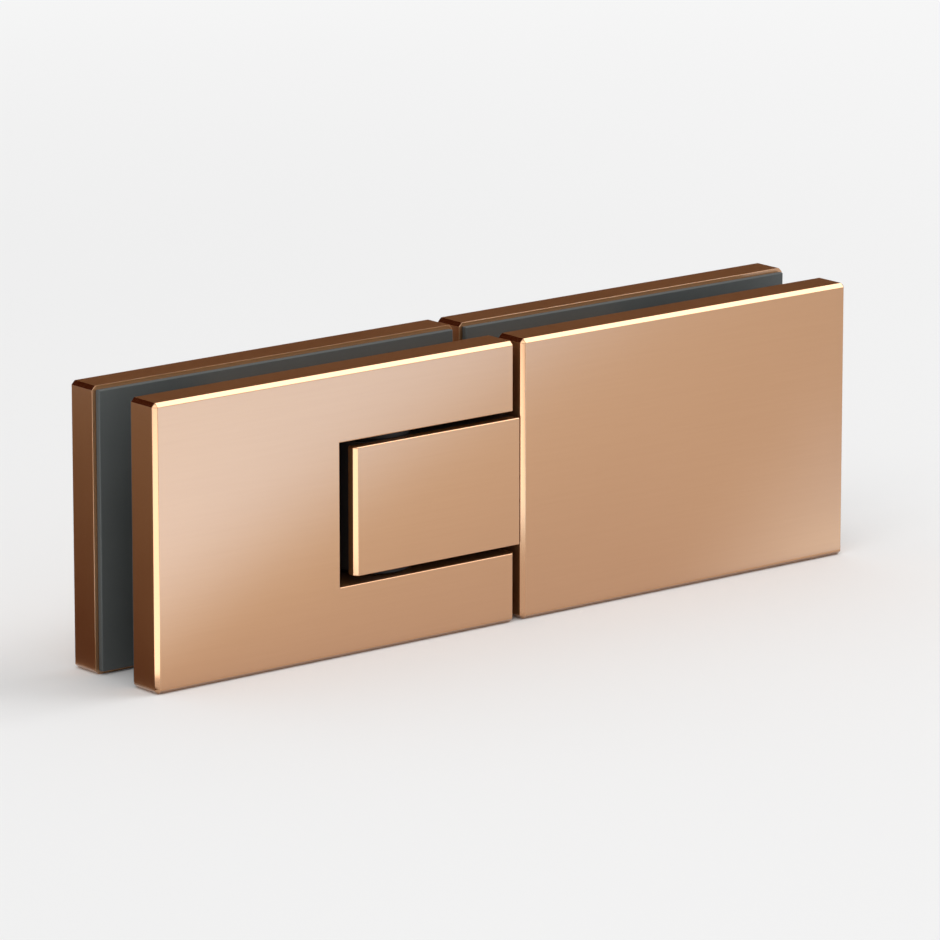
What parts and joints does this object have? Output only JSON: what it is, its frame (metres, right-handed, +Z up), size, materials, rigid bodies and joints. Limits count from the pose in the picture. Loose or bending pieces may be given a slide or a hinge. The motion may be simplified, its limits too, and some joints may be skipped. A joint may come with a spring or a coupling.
{
  "type": "lift hinge",
  "caption": "Flat glass-to-glass shower door hinge with a square knuckle set into one leaf; a helical cam on the pin raises the door leaf as it swings open.",
  "frame": {"origin": "centre of the closed hinge, in the middle plane of the glass", "axes": "+X from the fixed leaf to the door leaf, +Y from the front to the rear through the glass, +Z up along the hinge pin"},
  "size_m": [0.142, 0.022, 0.046],
  "materials": {
    "rose_gold": "plated, smooth satin with bright bevelled edges",
    "gasket": "matt dark grey sheet",
    "steel": "bright machined steel",
    "bronze": "plain bearing bronze",
    "black_metal": "matt black coated casting",
    "polymer": "black bearing polymer"
  },
  "bodies": {
    "fixed_leaf": {"fixed_front_leaf": "rose_gold", "fixed_rear_plate": "rose_gold", "fixed_front_gasket": "gasket", "fixed_rear_gasket": "gasket", "fixed_clamp_screws": "steel", "hinge_pin": "steel", "upper_pin_keeper": "bronze", "lower_pin_keeper": "bronze", "lift_cam": "steel"},
    "knuckle": {"knuckle_housing": "black_metal", "knuckle_cover": "rose_gold", "upper_bush": "polymer", "lower_bush": "polymer", "upper_guide_bushes": "bronze", "lower_guide_bushes": "bronze"},
    "door_leaf": {"door_front_leaf": "rose_gold", "door_rear_plate": "rose_gold", "door_front_gasket": "gasket", "door_rear_gasket": "gasket", "door_clamp_screws": "steel", "lift_follower": "steel", "inner_guide_rod": "steel", "outer_guide_rod": "steel", "guide_set_screws": "steel"}
  },
  "joints": [
    {"name": "swing", "type": "hinge", "parent": "fixed_leaf", "child": "knuckle", "pos_m": [-0.0227, -0.0034, 0], "axis": [0, 0, -1], "range_deg": [0, 90]},
    {"name": "lift", "type": "slide", "parent": "knuckle", "child": "door_leaf", "axis": [0, 0, 1], "range_m": [0, 0.005]}
  ],
  "couplings": [
    {"joint": "lift", "follows": "swing", "m_per_rad": 0.0031831}
  ]
}
